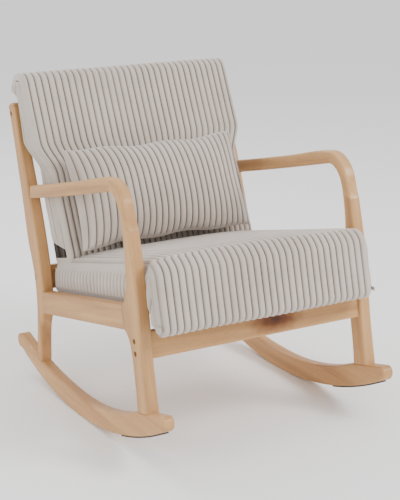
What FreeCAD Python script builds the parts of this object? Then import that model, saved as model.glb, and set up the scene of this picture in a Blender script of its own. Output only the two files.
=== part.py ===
"""Rocking chair: every wooden member, fitting and cushion as its own solid. Units mm, +Z up.
The origin is on the floor, under the middle of the chair. X runs left to right, +Y to the rear."""
import FreeCAD, Part
import math
import os

Vec = FreeCAD.Vector

WIDTH = 636.0           # across the outer faces of the two side frames
STOCK = 32.0            # thickness of every side frame member
EDGE = 6.0              # rounding of the long edges
ROCKER_R = 880.0        # underside of the rockers
ROCKER_Y = 26.0         # where the rockers touch the floor
SEAT_SLOPE = -0.20      # rise of the side rails per mm towards the rear
BACK_SLOPE = 0.32       # run to the rear of the back frame per mm of height
SEAT_TOP_SLOPE = -0.25
PILLOW_LEAN = 0.478     # run to the rear of the back cushion's front per mm of height
CUSHION_HALF = 284.0    # half width of the cushions between the side frames
EAR_HALF = 297.0        # half width where they pass in front of the legs and posts
BACK_EAR_HALF = 300.0
COVER = 2.5             # thickness of the cushion covers
DOWEL_R = 5.0
BOLT_R = 3.0
BOLT_HEAD_R = 6.5
HALF = WIDTH / 2
INNER = HALF - STOCK

os.makedirs("parts", exist_ok=True)
nodes = {}


def line(a, b):
    return Part.makeLine(Vec(0, *a), Vec(0, *b))


def lines(points):
    return [line(a, b) for a, b in zip(points, points[1:])]


def curve(points):
    spline = Part.BSplineCurve()
    spline.interpolate([Vec(0, *p) for p in points])
    return spline.toShape()


def arc(a, middle, b):
    return Part.Arc(Vec(0, *a), Vec(0, *middle), Vec(0, *b)).toShape()


def plate(edges, x0, x1):
    """The outline in the YZ plane, made solid from x0 to x1."""
    face = Part.Face(Part.Wire(edges))
    solid = face.extrude(Vec(x1 - x0, 0, 0))
    solid.translate(Vec(x0, 0, 0))
    return solid


def polygon(points, x0, x1):
    return plate(lines(points + points[:1]), x0, x1)


def rod(start, direction, radius, length):
    return Part.makeCylinder(radius, length, Vec(*start), Vec(*direction))


def biggest(shape):
    return max(shape.Solids, key=lambda s: s.Volume)


def mirrored(solid):
    return solid.mirror(Vec(0, 0, 0), Vec(1, 0, 0))


def rounded(solid, radius, keep):
    """Round the edges in the two side faces, except those that `keep` says belong to a joint."""
    xs = (solid.BoundBox.XMin, solid.BoundBox.XMax)
    chosen = []
    for edge in solid.Edges:
        box = edge.BoundBox
        flat = box.XLength < 0.01 and min(abs(box.XMin - x) for x in xs) < 0.01
        if flat and not keep(box.Center.y, box.Center.z):
            chosen.append(edge)
    return solid.makeFillet(radius, chosen)


def save(name, shape):
    shape.exportStep("parts/" + name + ".step")
    nodes[name] = shape


# ---------------------------------------------------------------- side frame outlines
def rocker_low(y):
    """Height of the rocker's underside."""
    return ROCKER_R - math.sqrt(ROCKER_R ** 2 - (y - ROCKER_Y) ** 2)


FRONT_TOP_R = 700.0     # top of the rocker ahead of its lowest point, and behind it
REAR_TOP_R = 1150.0
TOP_Y, TOP_Z = 17.5, 49.4


def rocker_top(y):
    radius = FRONT_TOP_R if y < TOP_Y else REAR_TOP_R
    return TOP_Z + radius - math.sqrt(radius ** 2 - (y - TOP_Y) ** 2)


def at(height, y):
    return (y, height(y))


NOSE, HEEL = -404.0, -283.0
rocker = plate([
    arc(at(rocker_low, -396), at(rocker_low, 0), at(rocker_low, 372)),
    arc(at(rocker_low, 372), (387, 88), at(rocker_top, 374)),
    arc(at(rocker_top, 374), at(rocker_top, 200), (TOP_Y, TOP_Z)),
    arc((TOP_Y, TOP_Z), at(rocker_top, -140), at(rocker_top, HEEL)),
    line(at(rocker_top, HEEL), (-392, 143)),
    arc((-392, 143), (NOSE, 134), at(rocker_low, -396)),
], -HALF, -INNER)

post = plate([
    curve([(238, 70), (236, 120), (229, 172), (214, 215), (215, 268), (224, 322),
           (252, 422), (285, 512), (311, 576), (337, 649), (357, 712)]),
    arc((357, 712), (373, 723), (392, 712)),
    curve([(392, 712), (366, 632), (345, 558), (319, 463), (295, 374), (271, 315),
           (259, 265), (255, 222), (256, 180), (261, 120), (265, 70)]),
    line((265, 70), (238, 70)),
], -HALF, -INNER).cut(rocker)
post = biggest(post)

leg = plate([
    curve([(-340, 121), (-326, 183), (-313, 244), (-303, 305), (-295, 362), (-274, 452),
           (-253, 528)]),
    line((-253, 528), (-221, 538)),
    curve([(-221, 538), (-229, 505), (-236, 456), (-238, 415), (-233, 375), (-216, 350)]),
    line((-216, 350), (-231, 294)),
    curve([(-231, 294), (-250, 279), (-263, 250), (-271, 215), (-280, 170), (-288, 110)]),
    line((-288, 110), (-340, 121)),
], -HALF, -INNER).cut(rocker)
leg = biggest(leg)

arm_bottom = [(-221, 538), (-213, 562), (-199, 583), (-180, 596), (-158, 598)]
arm_rear = [(-158, 598), (-45, 570), (125, 529), (270, 496)]
arm_over = [(270, 529), (125, 562), (-45, 604), (-125, 624), (-165, 629)]
arm_front = [(-165, 629), (-185, 625), (-205, 614), (-222, 598), (-233, 579), (-245, 545),
             (-253, 528)]
whole_arm = plate([
    curve(arm_bottom),
    curve(arm_rear),
    line(arm_rear[-1], arm_over[0]),
    curve(arm_over),
    curve(arm_front),
    line((-253, 528), (-221, 538)),
], -HALF, -INNER).cut(post)
whole_arm = rounded(biggest(whole_arm), EDGE, lambda y, z: z < 540 or y > 240)

# Finger joint between the bent front piece and the straight armrest.
teeth = 4
tooth_edge = []
for i in range(2 * teeth + 1):
    tooth_edge.append((-168 + (5 if i % 2 else -5), 590 + i * 50 / (2 * teeth)))
elbow_side = polygon([(-330, 590)] + tooth_edge + [(-330, 640)], -HALF - 1, -INNER + 1)
below_joint = polygon([(-330, 500), (-168, 500), (-168, 590), (-330, 590)], -HALF - 1, -INNER + 1)
elbow_zone = elbow_side.fuse(below_joint)
elbow = biggest(whole_arm.common(elbow_zone))
armrest = biggest(whole_arm.cut(elbow_zone))


def rail_line(offset, y):
    """A line parallel to the side rail's top; offset 0 is the top face."""
    return 320.2 + offset + SEAT_SLOPE * (y + 65)


rail_ends = (-260.0, 250.0)
side_rail = polygon([(rail_ends[0], rail_line(-58, rail_ends[0])),
                     (rail_ends[1], rail_line(-58, rail_ends[1])),
                     (rail_ends[1], rail_line(0, rail_ends[1])),
                     (rail_ends[0], rail_line(0, rail_ends[0]))], -HALF, -INNER)
side_rail = biggest(side_rail.cut(post).cut(leg))

# ---------------------------------------------------------------- rails between the sides
def tilted_bar(centre, slope, thick, tall, x0, x1):
    """A bar across the chair whose section leans back by `slope`."""
    up = Vec(0, slope, 1).normalize()
    out = Vec(0, -1, slope).normalize()
    corners = []
    for u, n in ((-1, -1), (1, -1), (1, 1), (-1, 1)):
        p = Vec(0, *centre) + up * (u * tall / 2) + out * (n * thick / 2)
        corners.append((p.y, p.z))
    return polygon(corners, x0, x1)


FRONT_RAIL = (-284.0, 272.0)
REAR_RAIL = (253.0, 290.0)
TOP_RAIL = (371.0, 692.0)
front_rail = tilted_bar(FRONT_RAIL, 0.2, 32, 60, -INNER, INNER)
rear_rail = tilted_bar(REAR_RAIL, 0.2, 22, 60, -INNER, INNER)
top_rail = tilted_bar(TOP_RAIL, 0.313, 22, 50, -INNER, INNER)

# ---------------------------------------------------------------- bolts and barrel nuts
# Each joint is drawn together by hex-socket bolts, sunk in the outer face of the side frame,
# that screw into barrel nuts lying across the rail.
bolt_spots = [(-278.5, 283.0), (-283.5, 255.0), (256.5, 292.0), (374.5, 696.0)]
bolts = []
nuts = []
bores = []
for y, z in bolt_spots:
    thick = 6.5 if y > 0 else 12.0
    head = rod((-HALF + 6, y, z), (1, 0, 0), BOLT_HEAD_R - 0.5, 5)
    socket = rod((-HALF + 6, y, z), (1, 0, 0), 2.2, 3)
    shank = rod((-HALF + 11, y, z), (1, 0, 0), BOLT_R, 59)
    bolts.append(head.fuse(shank).cut(socket))
    nut = rod((-INNER + 30, y - thick, z), (0, 1, 0), 5, 2 * thick)
    nuts.append(nut.cut(rod((-INNER + 20, y, z), (1, 0, 0), BOLT_R, 30)))
    bore = rod((-HALF, y, z), (1, 0, 0), BOLT_HEAD_R, 11)
    bore = bore.fuse(rod((-HALF, y, z), (1, 0, 0), BOLT_R + 0.3, 72))
    hidden_side = 1 if y < 0 else -1
    nut_hole = rod((-INNER + 30, y - hidden_side * (thick + 0.3), z), (0, hidden_side, 0), 5.2, 42)
    bores.append(bore.fuse(nut_hole))


def drilled(solid, tools):
    for tool in tools:
        solid = solid.cut(tool)
    return solid


# ---------------------------------------------------------------- dowels
# y, z of the middle, direction in the YZ plane, length
dowel_spots = [
    (-226.5, 310, 1, -0.2, 44), (-222, 335, 1, -0.2, 44),
    (215, 236, 1, -0.2, 30), (216, 258, 1, -0.2, 30),
    (270, 499, 1, -0.25, 36),
    (-237, 533, 0.25, 1, 36),
    (-316, 125, 0.25, 1, 36), (-301, 121, 0.25, 1, 36),
    (251, 74, 0, 1, 40),
]
side_dowels = []
for y, z, dy, dz, length in dowel_spots:
    d = Vec(0, dy, dz).normalize()
    start = Vec(-HALF + STOCK / 2, y, z) - d * (length / 2)
    side_dowels.append(rod(start, d, DOWEL_R, length))
rail_dowels = []
for y, z in ((248.0, 265.0), (249.0, 310.0), (365.0, 675.0)):
    rail_dowels.append(rod((-INNER - 18, y, z), (1, 0, 0), 4, 36))

# ---------------------------------------------------------------- seat deck
DECK = -22.0            # top of the slats below the rail's top
SLAT = 12.0
cleat = polygon([(-205, rail_line(DECK - SLAT - 20, -205)), (205, rail_line(DECK - SLAT - 20, 205)),
                 (205, rail_line(DECK - SLAT, 205)), (-205, rail_line(DECK - SLAT, -205))],
                -INNER, -INNER + 20)
seat_slats = []
slat_middles = [-178.0, -90.0, -2.0, 86.0, 174.0]
for y in slat_middles:
    slat = polygon([(y - 30, rail_line(DECK - SLAT, y - 30)), (y + 30, rail_line(DECK - SLAT, y + 30)),
                    (y + 30, rail_line(DECK, y + 30)), (y - 30, rail_line(DECK, y - 30))],
                   -INNER + 1, INNER - 1)
    seat_slats.append(slat)


def screw(start, direction, length):
    """Countersunk wood screw; start is the middle of its head's flat face."""
    head = Part.makeCone(4, 2, 3, Vec(*start), Vec(*direction))
    return head.fuse(rod(start, direction, 2, length))


down = (0, SEAT_SLOPE, -1)
slat_screws = [screw((-INNER + 10, y, rail_line(DECK, y)), down, 28) for y in slat_middles]
cleat_screws = [screw((-INNER + 20, y, rail_line(DECK - SLAT - 10, y)), (-1, 0, 0), 40)
                for y in (-134.0, 42.0, 130.0)]
cleat = drilled(cleat, slat_screws + cleat_screws)

# ---------------------------------------------------------------- back slats
back_slats = []
low = (REAR_RAIL[0] + 4, 312.0)
top = (TOP_RAIL[0] - 6, 676.0)
middle = ((low[0] + top[0]) / 2, (low[1] + top[1]) / 2)
slope = (top[0] - low[0]) / (top[1] - low[1])
for x in (-165.0, -55.0, 55.0, 165.0):
    back_slats.append(tilted_bar(middle, slope, 12, math.dist(low, top), x - 25, x + 25))
rear_rail = drilled(rear_rail, back_slats)
top_rail = drilled(top_rail, back_slats)

# ---------------------------------------------------------------- strips under the rockers
pad_span = (-384.0, -200.0)


def below(y, depth):
    slope_angle = math.asin((y - ROCKER_Y) / ROCKER_R)
    return (y + depth * math.sin(slope_angle), rocker_low(y) - depth * math.cos(slope_angle))


pad_middle = sum(pad_span) / 2
pad = plate([
    arc(below(pad_span[0], 0), below(pad_middle, 0), below(pad_span[1], 0)),
    line(below(pad_span[1], 0), below(pad_span[1], 3)),
    arc(below(pad_span[1], 3), below(pad_middle, 3), below(pad_span[0], 3)),
    line(below(pad_span[0], 3), below(pad_span[0], 0)),
], -HALF + 5, -INNER - 5)

# ---------------------------------------------------------------- write the side frames
def near(points):
    """A test for edges whose middle lies within 12 mm of one of the points."""
    return lambda y, z: any(math.dist((y, z), p) < 12 for p in points)


joints = {
    "rear_post": near([(251, 74)]),
    "front_leg": near([(-237, 533), (-223.5, 322), (-316, 121)]),
    "side_rail": lambda y, z: y < -200 or y > 200,
    "rocker": lambda y, z: y > 370,
}
sides = {"rear_post": post, "front_leg": leg, "arm_elbow": elbow, "armrest": armrest,
         "side_rail": side_rail, "rocker": rocker}
for name, solid in sides.items():
    if name in joints:
        solid = rounded(solid, EDGE, joints[name])
    solid = drilled(solid, side_dowels + rail_dowels + bores + cleat_screws)
    save(name + "_left", solid)
    save(name + "_right", mirrored(solid))
save("antislip_strip_left", pad)
save("antislip_strip_right", mirrored(pad))

both_bores = bores + [mirrored(b) for b in bores]
both_dowels = rail_dowels + [mirrored(d) for d in rail_dowels]
save("front_rail", drilled(front_rail, both_bores))
save("rear_rail", drilled(rear_rail, both_bores + both_dowels))
save("top_rail", drilled(top_rail, both_bores + both_dowels))
for i, slat in enumerate(back_slats):
    save("back_slat_%d" % (i + 1), slat)
both_screws = slat_screws + [mirrored(s) for s in slat_screws]
for i, slat in enumerate(seat_slats):
    save("seat_slat_%d" % (i + 1), drilled(slat, both_screws))
save("seat_cleat_left", cleat)
save("seat_cleat_right", mirrored(cleat))
for name, group in (("connector_bolts", bolts), ("barrel_nuts", nuts),
                    ("frame_dowels", side_dowels), ("rail_dowels", rail_dowels),
                    ("slat_screws", slat_screws), ("cleat_screws", cleat_screws)):
    save(name, Part.makeCompound(group + [mirrored(s) for s in group]))


# ---------------------------------------------------------------- cushions
def seat_top(y):
    """Top of the seat cushion."""
    return 437.4 + SEAT_TOP_SLOPE * (y + 185.5)


def seat_outline(inset):
    """Side view of the seat cushion: a slab whose front hangs down over the front rail."""
    t = inset
    return [
        line((230 - t, rail_line(DECK + 1 + t, 230)), (-286, rail_line(DECK + 1 + t, -286))),
        line((-286, rail_line(DECK + 1 + t, -286)), (-303 - t, rail_line(DECK + 1, -286) - 12)),
        line((-303 - t, rail_line(DECK + 1, -286) - 12), (-312 - t, 312 + t)),
        arc((-312 - t, 312 + t), (-336, 301 + t), (-361 + t, 314 + t)),
        line((-361 + t, 314 + t), (-332 + t, 444)),
        arc((-332 + t, 444), (-319 + t, 460 - t), (-296, seat_top(-296) - t)),
        line((-296, seat_top(-296) - t), (-60, seat_top(-60) + 2 - t)),
        line((-60, seat_top(-60) + 2 - t), (212 - t, seat_top(212) - t)),
        arc((212 - t, seat_top(212) - t), (224 - t, seat_top(212) - 8 - t), (230 - t, seat_top(212) - 20)),
        line((230 - t, seat_top(212) - 20), (230 - t, rail_line(DECK + 1 + t, 230))),
    ]


def leg_front(y_offset):
    """Everything ahead of the front legs, down to the floor and well above the seat."""
    return polygon([(-420, 250), (-316 + y_offset, 250), (-303 + y_offset, 320),
                    (-276 + y_offset, 460), (-276 + y_offset, 520), (-420, 520)], -400, 400)


def seat_cushion(inset):
    half = CUSHION_HALF - inset
    slab = plate(seat_outline(inset), -half, half)
    wide = plate(seat_outline(inset), -EAR_HALF + inset, EAR_HALF - inset)
    return slab.fuse(wide.common(leg_front(-4 - inset))).removeSplitter()


def pillow_point(up, out):
    """A point given by its distance up the back cushion's front and out from it."""
    u = Vec(0, PILLOW_LEAN, 1).normalize()
    n = Vec(0, -1, PILLOW_LEAN).normalize()
    p = Vec(0, 122.0, 360.5) + u * up + n * out
    return (p.y, p.z)


def back_outline(inset):
    """Side view of the back cushion: it stands on the seat and rolls over the top of the posts."""
    t = inset
    rear = lambda z: 239.0 + BACK_SLOPE * (z - 322.4) - t
    floor_z = lambda y: seat_top(y) + 1.5 + t
    return [
        line((rear(332 + t), floor_z(rear(332 + t))), (134 + t, floor_z(134 + t))),
        arc((134 + t, floor_z(134 + t)), (127 + t, 362), pillow_point(14, -t)),
        line(pillow_point(14, -t), pillow_point(450, -t)),
        curve([pillow_point(450, -t), (330 + t / 2, 792 - t), (353, 805 - t), (377, 804 - t),
               (397 - t, 789 - t / 2), (405 - t, 764), (401 - t, 742)]),
        line((401 - t, 742), (394 - t, 731 + t)),
        line((394 - t, 731 + t), (rear(731 + t), 731 + t)),
        line((rear(731 + t), 731 + t), (rear(332 + t), floor_z(rear(332 + t)))),
    ]


def ear_zone(inset):
    """In front of the posts above the armrests, and all of the cushion above the posts."""
    t = inset
    return polygon([(100, 563 + t), (302 - t, 563 + t), (352 - t, 731 + t), (460, 731 + t),
                    (460, 900), (100, 900)], -400, 400)


def back_cushion(inset):
    half = CUSHION_HALF - inset
    body = plate(back_outline(inset), -half, half)
    wide = plate(back_outline(inset), -BACK_EAR_HALF + inset, BACK_EAR_HALF - inset)
    return body.fuse(wide.common(ear_zone(inset))).removeSplitter()


PILLOW_STATIONS = [(-274, 0.36, 0.90), (-258, 0.66, 0.96), (-190, 0.96, 1.0), (-27, 1.0, 1.0),
                   (136, 0.96, 1.0), (204, 0.66, 0.96), (220, 0.36, 0.90)]


def pillow(inset):
    """A stuffed pillow: a rounded section that flattens towards the seams of the two ends."""
    t = inset
    wires = []
    for x, thick, tall in PILLOW_STATIONS:
        shift = t if x < -27 else -t
        if x == -27:
            shift = 0
        points = []
        for up, out in ((-127, 0), (-98, -56), (0, -61), (98, -56), (127, 0),
                        (95, 52), (0, 63), (-95, 55)):
            scale = 1 - t / math.hypot(up, out)
            points.append(pillow_point(142 + up * tall * scale, 68 + out * thick * scale))
        spline = Part.BSplineCurve()
        spline.interpolate([Vec(x + shift, *p) for p in points], True)
        wires.append(Part.Wire([spline.toShape()]))
    return Part.makeLoft(wires, True, False)


for name, make in (("seat_cushion", seat_cushion), ("back_cushion", back_cushion),
                   ("lumbar_pillow", pillow)):
    outer = make(0)
    core = make(COVER)
    save(name + "_cover", outer.cut(core))
    save(name + "_filling", core)

for name, shape in nodes.items():
    if not shape.isValid():
        print("not valid:", name)
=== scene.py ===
"""Rocking chair with corduroy cushions, on a pale studio floor."""
import math

import bpy
import numpy as np
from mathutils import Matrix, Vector


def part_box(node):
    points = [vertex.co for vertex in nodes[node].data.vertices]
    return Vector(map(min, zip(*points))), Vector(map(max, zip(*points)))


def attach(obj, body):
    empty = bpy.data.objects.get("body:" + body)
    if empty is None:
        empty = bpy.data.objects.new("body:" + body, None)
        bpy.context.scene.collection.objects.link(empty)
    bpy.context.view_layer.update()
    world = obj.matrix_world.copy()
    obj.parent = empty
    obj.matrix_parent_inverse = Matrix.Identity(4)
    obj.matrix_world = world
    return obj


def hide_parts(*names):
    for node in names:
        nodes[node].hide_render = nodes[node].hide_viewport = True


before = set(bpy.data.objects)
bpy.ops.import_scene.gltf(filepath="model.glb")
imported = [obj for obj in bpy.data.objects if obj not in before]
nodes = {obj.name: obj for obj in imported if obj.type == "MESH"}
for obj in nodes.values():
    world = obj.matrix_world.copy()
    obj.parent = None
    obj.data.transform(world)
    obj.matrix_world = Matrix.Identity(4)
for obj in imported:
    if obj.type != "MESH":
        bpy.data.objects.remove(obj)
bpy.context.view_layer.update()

# ---- Wooden members -------------------------------------------------------------------------
# Every member is sawn from light rubberwood, planed, rounded along its long edges and
# sprayed with clear gloss lacquer. The grain runs along the member, and each piece comes
# from another board, so its tone differs a little.


def node_group(name, inputs, outputs):
    """An empty shader node group with the given float, colour or vector sockets."""
    group = bpy.data.node_groups.new(name, "ShaderNodeTree")
    kinds = {"f": "NodeSocketFloat", "c": "NodeSocketColor", "v": "NodeSocketVector"}
    for label, kind in inputs:
        group.interface.new_socket(label, in_out="INPUT", socket_type=kinds[kind])
    for label, kind in outputs:
        group.interface.new_socket(label, in_out="OUTPUT", socket_type=kinds[kind])
    return group, group.nodes.new("NodeGroupInput"), group.nodes.new("NodeGroupOutput")


class Tree:
    """Short calls that add and join the nodes of one tree."""

    def __init__(self, tree):
        self.tree = tree

    def add(self, kind, **settings):
        node = self.tree.nodes.new(kind)
        for key, value in settings.items():
            if hasattr(node, key):
                setattr(node, key, value)
            else:
                node.inputs[key.replace("_", " ")].default_value = value
        return node

    def link(self, a, b):
        self.tree.links.new(a, b)

    def math(self, operation, a, b=None, clamp=False):
        node = self.tree.nodes.new("ShaderNodeMath")
        node.operation = operation
        node.use_clamp = clamp
        for i, value in enumerate((a, b)):
            if value is None:
                continue
            if isinstance(value, (int, float)):
                node.inputs[i].default_value = value
            else:
                self.link(value, node.inputs[i])
        return node.outputs[0]

    def ramp(self, factor, stops):
        node = self.tree.nodes.new("ShaderNodeValToRGB")
        elements = node.color_ramp.elements
        while len(elements) < len(stops):
            elements.new(0.5)
        for element, (place, colour) in zip(elements, stops):
            element.position = place
            element.color = colour if len(colour) == 4 else (*colour, 1)
        self.link(factor, node.inputs[0])
        return node.outputs[0]

    def mix(self, factor, a, b, blend="MIX"):
        node = self.tree.nodes.new("ShaderNodeMix")
        node.data_type = "RGBA"
        node.blend_type = blend
        for i, value in zip((0, 6, 7), (factor, a, b)):
            if isinstance(value, (int, float)):
                node.inputs[i].default_value = value
            elif isinstance(value, tuple):
                node.inputs[i].default_value = (*value, 1)
            else:
                self.link(value, node.inputs[i])
        return node.outputs[2]


def grain_group():
    """Growth rings, fine pores and slow changes of tone, in a space whose X is the grain."""
    group, source, out = node_group("wood_grain", [("Vector", "v"), ("Tone", "f")],
                                    [("Color", "c"), ("Height", "f"), ("Gloss", "f")])
    t = Tree(group)
    bend = t.add("ShaderNodeTexNoise", Scale=1.6, Detail=2.0)
    stretch = t.add("ShaderNodeMapping")
    stretch.inputs["Scale"].default_value = (2.2, 34.0, 34.0)
    t.link(source.outputs["Vector"], bend.inputs["Vector"])
    warped = t.add("ShaderNodeVectorMath", operation="MULTIPLY_ADD")
    t.link(bend.outputs["Color"], warped.inputs[0])
    warped.inputs[1].default_value = (0.0, 0.035, 0.035)
    t.link(source.outputs["Vector"], warped.inputs[2])
    t.link(warped.outputs[0], stretch.inputs["Vector"])
    figure = t.add("ShaderNodeTexNoise", Scale=1.0, Detail=5.0, Roughness=0.55)
    t.link(stretch.outputs[0], figure.inputs["Vector"])
    rings = t.add("ShaderNodeTexWave", Scale=0.45, Distortion=5.0, Detail=3.0)
    rings.bands_direction = "Y"
    t.link(stretch.outputs[0], rings.inputs["Vector"])
    pore_space = t.add("ShaderNodeMapping")
    pore_space.inputs["Scale"].default_value = (60.0, 1500.0, 1500.0)
    t.link(source.outputs["Vector"], pore_space.inputs["Vector"])
    pores = t.add("ShaderNodeTexNoise", Scale=1.0, Detail=1.0)
    t.link(pore_space.outputs[0], pores.inputs["Vector"])
    pore_mask = t.math("GREATER_THAN", pores.outputs["Fac"], 0.62)
    base = t.ramp(figure.outputs["Fac"], [(0.30, (0.30, 0.130, 0.040)), (0.5, (0.50, 0.255, 0.090)),
                                          (0.70, (0.62, 0.350, 0.140))])
    ringed = t.mix(t.math("MULTIPLY", rings.outputs["Fac"], 0.28), base, (0.43, 0.215, 0.075))
    slow = t.add("ShaderNodeTexNoise", Scale=5.0, Detail=1.0)
    t.link(source.outputs["Vector"], slow.inputs["Vector"])
    tone = t.math("ADD", t.math("MULTIPLY", slow.outputs["Fac"], 0.35), source.outputs["Tone"])
    toned = t.mix(t.math("MULTIPLY", tone, 0.45, clamp=True), ringed, (0.66, 0.40, 0.18))
    poured = t.mix(t.math("MULTIPLY", pore_mask, 0.35), toned, (0.27, 0.15, 0.07))
    t.link(poured, out.inputs["Color"])
    t.link(t.math("SUBTRACT", figure.outputs["Fac"], t.math("MULTIPLY", pore_mask, 0.5)),
           out.inputs["Height"])
    t.link(t.math("MULTIPLY_ADD", figure.outputs["Fac"], 0.14), out.inputs["Gloss"])
    return group


GRAIN = grain_group()
REFERENCE = Vector((1, 0, 0))


def wood(name, along, tone, knot=None):
    """Lacquered wood whose grain follows the direction `along`, with a knot if one is given."""
    material = bpy.data.materials.new(name)
    material.use_nodes = True
    t = Tree(material.node_tree)
    shader = material.node_tree.nodes["Principled BSDF"]
    place = t.add("ShaderNodeTexCoord")
    turn = t.add("ShaderNodeMapping")
    turn.inputs["Rotation"].default_value = Vector(along).rotation_difference(
        REFERENCE).to_euler("XYZ")
    turn.inputs["Location"].default_value = (tone * 3.1, tone * 7.7, tone * 5.3)
    t.link(place.outputs["Object"], turn.inputs["Vector"])
    grain = t.add("ShaderNodeGroup")
    grain.node_tree = GRAIN
    grain.inputs["Tone"].default_value = tone
    t.link(turn.outputs[0], grain.inputs["Vector"])
    colour = grain.outputs["Color"]
    if knot:
        offset = t.add("ShaderNodeVectorMath", operation="SUBTRACT")
        t.link(place.outputs["Object"], offset.inputs[0])
        offset.inputs[1].default_value = knot
        squash = t.add("ShaderNodeVectorMath", operation="MULTIPLY")
        t.link(offset.outputs[0], squash.inputs[0])
        squash.inputs[1].default_value = (0.42, 0.0, 1.0)
        reach = t.add("ShaderNodeVectorMath", operation="LENGTH")
        t.link(squash.outputs[0], reach.inputs[0])
        wobble = t.add("ShaderNodeTexNoise", Scale=60.0, Detail=3.0)
        t.link(place.outputs["Object"], wobble.inputs["Vector"])
        ragged = t.math("ADD", reach.outputs["Value"],
                        t.math("MULTIPLY", wobble.outputs["Fac"], 0.012))
        eye = t.ramp(t.math("MULTIPLY", ragged, 22.0),
                     [(0.15, (0.13, 0.06, 0.025)), (0.42, (0.34, 0.18, 0.08)), (0.95, (1, 1, 1))])
        colour = t.mix(1.0, colour, eye, "MULTIPLY")
    t.link(colour, shader.inputs["Base Color"])
    t.link(t.math("ADD", grain.outputs["Gloss"], 0.30), shader.inputs["Roughness"])
    bump = t.add("ShaderNodeBump", Strength=0.12, Distance=0.0006)
    t.link(grain.outputs["Height"], bump.inputs["Height"])
    t.link(bump.outputs[0], shader.inputs["Normal"])
    shader.inputs["Coat Weight"].default_value = 0.35
    shader.inputs["Coat Roughness"].default_value = 0.18
    return material


def dress(node, material):
    """Give a CAD piece its material."""
    piece = nodes[node]
    piece.data.materials.clear()
    piece.data.materials.append(material)


MEMBERS = {
    "rocker": (0, 1, 0.05), "front_leg": (0, 0.22, 1), "rear_post": (0, 0.25, 1),
    "arm_elbow": (0, 0.75, 0.66), "armrest": (0, 1, -0.24), "side_rail": (0, 1, -0.2),
}
TONES = {"rocker": 0.12, "front_leg": 0.34, "rear_post": 0.2, "arm_elbow": 0.45,
         "armrest": 0.3, "side_rail": 0.08}
for part, along in MEMBERS.items():
    for k, side in enumerate(("left", "right")):
        dress(f"{part}_{side}", wood(f"wood_{part}_{side}", along, TONES[part] + 0.09 * k))

# ---- Front, rear and top rails, slats and cleats ---------------------------------------------
# Straight boards across the chair between the two side frames. The front rail's board has a
# dark knot right of its middle; the slats under the seat and behind the back are plain.
rail_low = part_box("front_rail")[0]
KNOT = (0.045, rail_low[1], rail_low[2] + 0.040)
dress("front_rail", wood("wood_front_rail", (1, 0, 0), 0.22, KNOT))
for i, node in enumerate(("rear_rail", "top_rail")):
    dress(node, wood(f"wood_{node}", (1, 0, 0), 0.15 + 0.1 * i))
for i in range(4):
    dress(f"back_slat_{i + 1}", wood(f"wood_back_slat_{i + 1}", (0, 0.32, 1), 0.1 + 0.07 * i))
for i in range(5):
    dress(f"seat_slat_{i + 1}", wood(f"wood_seat_slat_{i + 1}", (1, 0, 0), 0.1 + 0.06 * i))
for side in ("left", "right"):
    dress(f"seat_cleat_{side}", wood(f"wood_seat_cleat_{side}", (0, 1, -0.2), 0.3))
for node in ("frame_dowels", "rail_dowels"):
    dress(node, wood(f"wood_{node}", (0, 1, 0), 0.3))

# ---- Connector bolts, barrel nuts and screws --------------------------------------------------
# Black-zinc hex-socket bolts sit sunk in the side frames; the nuts and screws are plain steel.


def metal(name, colour, roughness):
    """Plated steel with a slightly uneven plating."""
    material = bpy.data.materials.new(name)
    material.use_nodes = True
    t = Tree(material.node_tree)
    shader = material.node_tree.nodes["Principled BSDF"]
    place = t.add("ShaderNodeTexCoord")
    cloud = t.add("ShaderNodeTexNoise", Scale=400.0, Detail=2.0)
    t.link(place.outputs["Object"], cloud.inputs["Vector"])
    light = tuple(c * 1.6 for c in colour)
    t.link(t.mix(cloud.outputs["Fac"], colour, light), shader.inputs["Base Color"])
    t.link(t.math("ADD", t.math("MULTIPLY", cloud.outputs["Fac"], 0.2), roughness),
           shader.inputs["Roughness"])
    shader.inputs["Metallic"].default_value = 1.0
    return material


dress("connector_bolts", metal("black_bolt", (0.035, 0.033, 0.032), 0.35))
for node in ("barrel_nuts", "slat_screws", "cleat_screws"):
    dress(node, metal(f"steel_{node}", (0.42, 0.41, 0.39), 0.3))

# ---- Strips under the rockers -----------------------------------------------------------------
# Black rubber strips glued under the front of each rocker, which stop the chair from sliding
# and slow it when it is tipped far forward.


def rubber(name):
    """Dull black rubber with a fine pebbled face."""
    material = bpy.data.materials.new(name)
    material.use_nodes = True
    t = Tree(material.node_tree)
    shader = material.node_tree.nodes["Principled BSDF"]
    place = t.add("ShaderNodeTexCoord")
    pebble = t.add("ShaderNodeTexVoronoi", Scale=900.0)
    t.link(place.outputs["Object"], pebble.inputs["Vector"])
    t.link(t.mix(pebble.outputs["Distance"], (0.018, 0.018, 0.02), (0.05, 0.05, 0.052)),
           shader.inputs["Base Color"])
    shader.inputs["Roughness"].default_value = 0.75
    bump = t.add("ShaderNodeBump", Strength=0.4, Distance=0.0003)
    t.link(pebble.outputs["Distance"], bump.inputs["Height"])
    t.link(bump.outputs[0], shader.inputs["Normal"])
    return material


for side in ("left", "right"):
    dress(f"antislip_strip_{side}", rubber(f"rubber_{side}"))

# ---- Seat cushion -----------------------------------------------------------------------------
# A foam block in a cover of wide-wale corduroy. One long piece of cloth runs from the
# rear over the top and down the front flap, so its wales run front to back; the sides are
# separate pieces joined by a seam. Ahead of the front legs the cushion is as wide as the chair.
WALE = 0.0178           # pitch of the corduroy
RIB = 0.0080            # height of a wale
EDGE = 0.011            # rounding of the cushions' edges
END_RIB = 0.8           # height of a wale on the end pieces, as a share of RIB
END_ROWS = 26           # rows of points up an end piece of the seat cushion
FADE = 0.012            # the wales of an end piece die out this far from its seams


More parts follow.
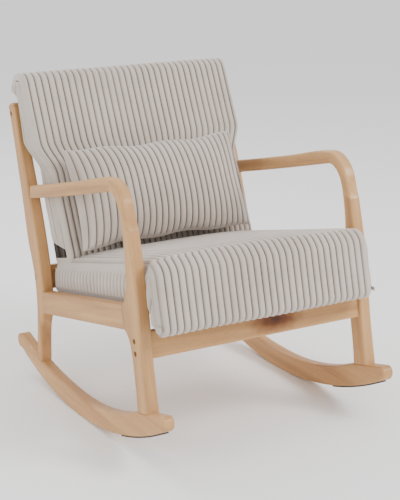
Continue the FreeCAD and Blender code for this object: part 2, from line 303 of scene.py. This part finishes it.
def rounded_loop(corners, step):
    """Closed path through the corners, each given as y, z and rounding radius, in metres:
    straight runs joined by tangent arcs, sampled about every `step`."""
    count = len(corners)
    path = []
    for i in range(count):
        before = Vector(corners[i - 1][:2])
        here = Vector(corners[i][:2])
        after = Vector(corners[(i + 1) % count][:2])
        radius = corners[i][2]
        a = (before - here).normalized()
        b = (after - here).normalized()
        half = a.angle(b) / 2
        reach = radius / math.tan(half)
        centre = here + (a + b).normalized() * (radius / math.sin(half))
        start = here + a * reach - centre
        turn = (math.pi - 2 * half) * (1 if a.x * b.y - a.y * b.x < 0 else -1)
        pieces = max(2, int(abs(turn) * radius / step))
        for k in range(pieces + 1):
            angle = turn * k / pieces
            c, s = math.cos(angle), math.sin(angle)
            path.append((centre.x + start.x * c - start.y * s,
                         centre.y + start.x * s + start.y * c))
    path = np.array(path)
    closed = np.vstack([path, path[:1]])
    length = np.r_[0, np.cumsum(np.hypot(*np.diff(closed, axis=0).T))]
    stations = np.linspace(0, length[-1], int(length[-1] / step), endpoint=False)
    return np.c_[np.interp(stations, length, closed[:, 0]),
                 np.interp(stations, length, closed[:, 1])]


def outward(path):
    """Unit normals of a closed path in the YZ plane, pointing out of it."""
    along = np.roll(path, -1, axis=0) - np.roll(path, 1, axis=0)
    along /= np.linalg.norm(along, axis=1)[:, None]
    area = 0.5 * np.sum(path[:, 0] * np.roll(path[:, 1], -1) - np.roll(path[:, 0], -1) * path[:, 1])
    sign = 1.0 if area > 0 else -1.0
    return np.c_[along[:, 1], -along[:, 0]] * sign


def ripple(a, b, seed):
    """Smooth bumps between -1 and 1: a sum of six sine waves of random direction and phase."""
    rng = np.random.default_rng(seed)
    total = np.zeros(np.broadcast(a, b).shape)
    for _ in range(6):
        ka, kb = rng.normal(0, 1, 2)
        total = total + np.sin(ka * a + kb * b + rng.uniform(0, 6.28))
    return total / 4


def wale(distance):
    """Height of the cloth over a wale, 0 in the groove and 1 on the crown: a half ellipse."""
    across = 2 * (distance / WALE - np.floor(distance / WALE)) - 1
    return np.sqrt(np.clip(1 - np.abs(across) ** 2.2, 0, 1))


def wale_stations(half):
    """Places across a panel from -half to half, closer together beside the grooves."""
    inside = np.array([0.0, 0.035, 0.11, 0.24, 0.4, 0.6, 0.76, 0.89, 0.965])
    first = math.floor(-half / WALE)
    marks = ((np.arange(first, -first + 1)[:, None] + inside[None, :]) * WALE).ravel()
    marks = marks[(marks > -half + 0.001) & (marks < half - 0.001)]
    return np.r_[-half, marks, half]


def smoothstep(a, b, x):
    """0 below a and 1 above b, with 3 t^2 - 2 t^3 between them."""
    t = np.clip((x - a) / (b - a), 0, 1)
    return t * t * (3 - 2 * t)


def make_mesh(name, grids, material):
    """One object from grids of points, shaped rows x columns x 3, each with the height of its
    wales from 0 to 1; a grid may close on itself."""
    verts = []
    faces = []
    heights = []
    offset = 0
    for (points, height), closed, flip in grids:
        heights.append(np.broadcast_to(height, points.shape[:2]).ravel())
        rows, columns = points.shape[:2]
        index = np.arange(rows * columns).reshape(rows, columns) + offset
        below = np.vstack([index, index[:1]]) if closed else index
        quads = np.stack([below[:-1, :-1], below[1:, :-1], below[1:, 1:], below[:-1, 1:]], -1)
        if flip:
            quads = quads[..., ::-1]
        verts.append(points.reshape(-1, 3))
        faces.append(quads.reshape(-1, 4))
        offset += rows * columns
    verts = np.vstack(verts)
    faces = np.vstack(faces)
    mesh = bpy.data.meshes.new(name)
    mesh.vertices.add(len(verts))
    mesh.vertices.foreach_set("co", verts.ravel())
    mesh.loops.add(faces.size)
    mesh.loops.foreach_set("vertex_index", faces.ravel())
    mesh.polygons.add(len(faces))
    mesh.polygons.foreach_set("loop_start", np.arange(0, faces.size, 4))
    mesh.polygons.foreach_set("use_smooth", np.ones(len(faces), bool))
    mesh.update()
    # the wale heights go into a point attribute that drives the cloth's painted groove shade
    groove_shade_mask = mesh.attributes.new("groove_shade_mask", "FLOAT", "POINT")
    groove_shade_mask.data.foreach_set("value", np.concatenate(heights).astype(np.float32))
    mesh.materials.append(material)
    piece = bpy.data.objects.new(name, mesh)
    bpy.context.scene.collection.objects.link(piece)
    return piece


def wrap_panel(path, width, crown, seed):
    """The long piece of cloth round a cushion. Point = path + normal x (rounding at the two
    edges + crown + wale), and the panel's half width follows `width` along the path. Beside
    the points it gives how far the cloth is out of the grooves, from 0 to 1."""
    normal = outward(path)
    widest = width.max()
    across = wale_stations(widest)
    part = across / widest
    x = part[None, :] * width[:, None]
    rim = width[:, None] - np.abs(x)
    inside = np.clip(EDGE - rim, 0, EDGE)
    rounding = np.sqrt(EDGE ** 2 - inside ** 2) - EDGE
    along = np.arange(len(path))[:, None] * 0.01
    wander = 0.0011 * ripple(across[None, :] * 14, along * 4, seed)
    crest = wale(across[None, :] + wander)
    fade = smoothstep(0.0, 0.010, rim)
    dome = crown[:, None] * (1 - part[None, :] ** 4)
    bumps = 0.0022 * ripple(across[None, :] * 9, along * 2.2, seed + 1) * smoothstep(0, 0.05, rim)
    lift = rounding + RIB * crest * fade + dome + bumps - RIB
    points = np.empty((len(path), len(across), 3))
    points[..., 0] = x
    points[..., 1] = path[:, None, 0] + normal[:, None, 0] * lift
    points[..., 2] = path[:, None, 1] + normal[:, None, 1] * lift
    return points, 1 - (1 - crest) * fade


def side_panel(lower, upper, side, width, bulge, seed, pitch_by):
    """The piece at one end: rows run from the lower curve to the upper one. It swells by
    `bulge` in the middle, and its wales follow `pitch_by`, a distance for every row."""
    rows = np.linspace(0, 1, END_ROWS)[None, :, None]
    flat = lower[:, None, :] * (1 - rows) + upper[:, None, :] * rows
    height = np.hypot(*(upper - lower).T)[:, None]
    rim = np.minimum(rows[..., 0] * height, (1 - rows[..., 0]) * height)
    ends = np.minimum(pitch_by - pitch_by.min(), pitch_by.max() - pitch_by)[:, None]
    edge = np.minimum(rim, ends)
    crest = wale(pitch_by)[:, None]
    fade = smoothstep(0.0, FADE, edge)
    swell = bulge * np.sqrt(np.clip(rim / 0.05, 0, 1)) * smoothstep(0, 0.04, ends)
    bumps = 0.0015 * ripple(flat[..., 0] * 40, flat[..., 1] * 40, seed) * smoothstep(0, 0.03, edge)
    points = np.empty(flat.shape[:2] + (3,))
    proud = swell + END_RIB * RIB * crest * fade + bumps
    points[..., 0] = side * (width(flat[..., 0], flat[..., 1]) + proud)
    points[..., 1:] = flat
    return points, 1 - (1 - crest) * fade


def cloth(name):
    """Velvety corduroy: a warm grey pile with a soft sheen and a fine nap, darkened by painted shade in the
    grooves between the wales. The point attribute that holds the height over the groove, from 0 to 1, sets
    where that painted shade falls."""
    material = bpy.data.materials.new(name)
    material.use_nodes = True
    t = Tree(material.node_tree)
    shader = material.node_tree.nodes["Principled BSDF"]
    place = t.add("ShaderNodeTexCoord")
    nap = t.add("ShaderNodeTexNoise", Scale=520.0, Detail=3.0, Roughness=0.7)
    brushed = t.add("ShaderNodeTexNoise", Scale=34.0, Detail=3.0)
    patches = t.add("ShaderNodeTexNoise", Scale=6.0, Detail=2.0)
    for texture in (nap, brushed, patches):
        t.link(place.outputs["Object"], texture.inputs["Vector"])
    base = t.ramp(patches.outputs["Fac"], [(0.3, (0.46, 0.39, 0.335)), (0.7, (0.58, 0.51, 0.45))])
    stroked = t.mix(t.math("MULTIPLY", brushed.outputs["Fac"], 0.5), base, (0.68, 0.61, 0.545))
    flecked = t.mix(t.math("MULTIPLY", nap.outputs["Fac"], 0.35), stroked, (0.34, 0.30, 0.26))
    groove_shade_mask = t.add("ShaderNodeAttribute", attribute_name="groove_shade_mask")
    # painted shade: low points in the grooves are darkened, the crowns keep the cloth's own colour
    depth = t.ramp(groove_shade_mask.outputs["Fac"], [(0.12, (0.20, 0.17, 0.15)), (0.48, (0.66, 0.63, 0.60)),
                                        (0.85, (1, 1, 1))])
    t.link(t.mix(0.95, flecked, depth, "MULTIPLY"), shader.inputs["Base Color"])
    shader.inputs["Roughness"].default_value = 0.95
    shader.inputs["Sheen Weight"].default_value = 0.45
    shader.inputs["Sheen Roughness"].default_value = 0.45
    shader.inputs["Specular IOR Level"].default_value = 0.15
    bump = t.add("ShaderNodeBump", Strength=0.55, Distance=0.0011)
    t.link(nap.outputs["Fac"], bump.inputs["Height"])
    t.link(bump.outputs[0], shader.inputs["Normal"])
    return material


CLOTH = cloth("corduroy")
STEP = 0.009
EAR = 0.291             # half width in front of the legs, to the seam
BODY = 0.278            # half width between the side frames


def seat_width(y, z):
    """Half width of the seat cushion: wide ahead of the line of the front legs."""
    leg_line = -0.306 + 0.193 * (z - 0.320)
    return BODY + (EAR - BODY) * (1 - smoothstep(leg_line - 0.016, leg_line - 0.002, y))


seat_path = rounded_loop([
    (0.226, 0.242, 0.012), (0.226, 0.340, 0.022), (-0.320, 0.472, 0.036), (-0.362, 0.302, 0.022),
    (-0.308, 0.302, 0.020), (-0.300, 0.346, 0.006)], STEP)
seat_widths = seat_width(seat_path[:, 0], seat_path[:, 1])
top_side = smoothstep(0.330, 0.352, seat_path[:, 1] + 0.25 * (seat_path[:, 0] - 0.19))
fore_aft = smoothstep(-0.34, -0.22, seat_path[:, 0]) * (1 - smoothstep(0.05, 0.22, seat_path[:, 0]))
seat_crown = 0.018 * top_side * (0.35 + 0.65 * fore_aft)
wrap = wrap_panel(seat_path, seat_widths, seat_crown, 11)


def inner_edge(path, y, top):
    """Height of the path, moved in by the edge's rounding, above each y: its top or bottom."""
    inset = path - outward(path) * (EDGE + RIB)
    facing = outward(path)[:, 1] > 0.2 if top else outward(path)[:, 1] < -0.2
    chosen = inset[facing]
    order = np.argsort(chosen[:, 0])
    return np.interp(y, chosen[order, 0], chosen[order, 1])


seat_y = np.arange(-0.362 + EDGE * 0.6, 0.226 - EDGE * 0.6, WALE / 9)
seat_low = np.c_[seat_y, inner_edge(seat_path, seat_y, False)]
seat_high = np.c_[seat_y, inner_edge(seat_path, seat_y, True)]
grids = [(wrap, True, False)]
for side in (-1, 1):
    grids.append((side_panel(seat_low, seat_high, side, seat_width, 0.006, 21, seat_y),
                  False, side > 0))
seat = make_mesh("seat_cushion", grids, CLOTH)
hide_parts("seat_cushion_cover", "seat_cushion_filling")
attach(seat, "seat_cushion")

# ---- Back cushion -----------------------------------------------------------------------------
# The same cloth round a wedge of foam: it stands on the seat, leans on the back slats, is as
# wide as the chair above the armrests and rolls a little over the top rail.
BACK_EAR = 0.308        # reach of the left side above the armrests
BACK_SHIFT = 0.014      # the right side reaches this much less from the middle
BACK_COLUMNS = 72       # columns of points across an end piece
CLIMB_STEPS = 120       # rows of points up an end piece


def back_width(y, z):
    """Reach of its left side: wide above the armrests, ahead of the posts or over them."""
    above_arm = smoothstep(0.562, 0.640, z)
    post_front = 0.300 + 0.31 * (z - 0.549)
    ahead = 1 - smoothstep(post_front - 0.014, post_front - 0.002, y)
    over = smoothstep(0.734, 0.744, z)
    return BODY + (BACK_EAR - BODY) * above_arm * np.maximum(ahead, over)


back_path = rounded_loop([
    (0.225, 0.326, 0.014), (0.365, 0.735, 0.004), (0.398, 0.737, 0.012), (0.402, 0.790, 0.030),
    (0.330, 0.808, 0.034), (0.120, 0.352, 0.022)], STEP)
back_left = back_width(back_path[:, 0], back_path[:, 1])
front_side = np.clip(-outward(back_path)[:, 0], 0, 1)
back_crown = 0.010 * front_side
wrap = wrap_panel(back_path, back_left - BACK_SHIFT / 2, back_crown, 31)
wrap[0][..., 0] -= BACK_SHIFT / 2
back_inset = back_path - outward(back_path) * (EDGE + RIB)
facing_front = outward(back_path)[:, 0] < -0.05
facing_rear = outward(back_path)[:, 0] > 0.05
climb = np.linspace(0.385, 0.780, CLIMB_STEPS)


def edge_at(mask, z):
    """Where the inset path lies in Y at each height, on its front or its rear."""
    chosen = back_inset[mask]
    order = np.argsort(chosen[:, 1])
    return np.interp(z, chosen[order, 1], chosen[order, 0])


front_edge = np.c_[edge_at(facing_front, climb), climb]
rear_edge = np.c_[edge_at(facing_rear, climb), climb]
grids = [(wrap, True, False)]


def upright_side(side, seed):
    """An end of the back cushion: columns run from the front seam to the rear one, and the
    wales stand upright, so their height depends on the distance from the front seam."""
    columns = np.linspace(0, 1, BACK_COLUMNS)[None, :, None]
    flat = front_edge[:, None, :] * (1 - columns) + rear_edge[:, None, :] * columns
    depth = np.hypot(*(rear_edge - front_edge).T)[:, None]
    gone = columns[..., 0] * depth
    rim = np.minimum(gone, depth - gone)
    ends = np.minimum(climb - climb[0], climb[-1] - climb)[:, None]
    edge = np.minimum(rim, ends)
    crest = wale(gone)
    fade = smoothstep(0.0, FADE, edge)
    swell = 0.006 * np.sqrt(np.clip(rim / 0.04, 0, 1)) * smoothstep(0, 0.03, ends)
    points = np.empty(flat.shape[:2] + (3,))
    bumps = 0.0012 * ripple(flat[..., 0] * 40, flat[..., 1] * 30, seed)
    proud = swell + END_RIB * RIB * crest * fade + bumps
    reach = back_width(flat[..., 0], flat[..., 1]) - (BACK_SHIFT if side > 0 else 0)
    points[..., 0] = side * (reach + proud)
    points[..., 1:] = flat
    return points, 1 - (1 - crest) * fade


for side in (-1, 1):
    grids.append((upright_side(side, 41), False, side < 0))
back = make_mesh("back_cushion", grids, CLOTH)
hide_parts("back_cushion_cover", "back_cushion_filling")
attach(back, "back_cushion")

# ---- Lumbar pillow ----------------------------------------------------------------------------
# A loose fibre-filled pillow of the same cloth, two panels sewn together all round. Its wales
# stand upright. It leans on the back cushion, just clear of the seat.
LEAN = 0.478
pillow_up = np.array([0, LEAN, 1]) / math.hypot(LEAN, 1)
pillow_out = np.array([0, -1, LEAN]) / math.hypot(LEAN, 1)
pillow_foot = np.array([-0.027, 0.122, 0.3605])
PILLOW_HALF = 0.243
PILLOW_TALL = 0.128     # half its height along the lean
PILLOW_OUT = 0.063      # its seam's distance from the back cushion's face
PILLOW_MIDDLE = 0.142   # its middle's distance up the back cushion's face
PILLOW_ROWS = 60
FRONT_LOFT = 0.060      # how far the front and the rear face swell from the seam
REAR_LOFT = 0.052


def pillow_panel(front):
    """One face: its loft falls to the seam as (1 - p^3.2)^0.62 x (1 - q^2.6)^0.62, with p across
    and q up, both from -1 to 1, and the seams between the corners are pulled in."""
    across = wale_stations(PILLOW_HALF)
    q = np.sin(np.linspace(-math.pi / 2, math.pi / 2, PILLOW_ROWS))[:, None]
    p = (across / PILLOW_HALF)[None, :]
    loft = (np.clip(1 - np.abs(p) ** 3.2, 0, 1) ** 0.62) * (np.clip(1 - np.abs(q) ** 2.6, 0, 1) ** 0.62)
    x = across[None, :] * (1 - 0.045 * (1 - q ** 2))
    up = q * PILLOW_TALL * (1 - 0.07 * (1 - np.abs(p) ** 2.5))
    up = up + 0.004 * ripple(p * 5, q * 2, 51) * (1 - q ** 2) + 0.003 * np.sin(p * 9) * q ** 2
    edge = np.minimum(1 - np.abs(p), 1 - np.abs(q))
    thick = FRONT_LOFT if front else REAR_LOFT
    swell = thick * loft + 0.003 * ripple(p * 4, q * 3, 52) * loft
    crest = wale(across)[None, :]
    fade = smoothstep(0.0, 0.05, edge)
    out = (swell + RIB * crest * fade) * (1 if front else -1) + PILLOW_OUT
    spot = (pillow_foot + x[..., None] * np.array([1.0, 0, 0]) + pillow_up * (PILLOW_MIDDLE + up[..., None])
            + pillow_out * out[..., None])
    return spot, 1 - (1 - crest) * fade


grids = [(pillow_panel(True), False, True), (pillow_panel(False), False, False)]
pillow = make_mesh("lumbar_pillow", grids, CLOTH)
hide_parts("lumbar_pillow_cover", "lumbar_pillow_filling")
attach(pillow, "lumbar_pillow")

# ---- Floor, lights and camera -----------------------------------------------------------------
# A plain pale sweep under soft daylight from the left and above.
bpy.ops.mesh.primitive_plane_add(size=14, location=(0, 0, 0))
floor = bpy.context.object
floor.name = "floor"
paint = bpy.data.materials.new("floor")
paint.use_nodes = True
paint_shader = paint.node_tree.nodes["Principled BSDF"]
paint_shader.inputs["Base Color"].default_value = (0.98, 0.98, 0.98, 1)
paint_shader.inputs["Roughness"].default_value = 0.9
floor.data.materials.append(paint)

world = bpy.data.worlds.new("studio")
world.use_nodes = True
world.node_tree.nodes["Background"].inputs["Color"].default_value = (1, 1, 1, 1)
world.node_tree.nodes["Background"].inputs["Strength"].default_value = 1.15
bpy.context.scene.world = world


def softbox(name, place, target, size, power):
    """A square area light that looks at the target."""
    light = bpy.data.lights.new(name, "AREA")
    light.size = size
    light.energy = power
    lamp = bpy.data.objects.new(name, light)
    lamp.location = place
    lamp.rotation_euler = (Vector(target) - Vector(place)).to_track_quat("-Z", "Y").to_euler()
    bpy.context.scene.collection.objects.link(lamp)


softbox("key", (1.9, -2.2, 2.6), (0, 0, 0.4), 1.3, 95)
softbox("side", (-2.8, -0.6, 1.4), (0, 0, 0.4), 1.2, 22)
softbox("rear", (-0.5, 2.4, 2.6), (0, 0, 0.5), 1.6, 40)

VIEW_AZIMUTH = math.radians(30.8)
VIEW_PITCH = math.radians(15.65)
camera_data = bpy.data.cameras.new("camera")
camera_data.sensor_width = 36
camera_data.lens = 93.6
camera = bpy.data.objects.new("camera", camera_data)
camera.location = (-1.582, -2.684, 1.2537)
camera.rotation_euler = (math.pi / 2 - VIEW_PITCH, 0, -VIEW_AZIMUTH)
bpy.context.scene.collection.objects.link(camera)
bpy.context.scene.camera = camera
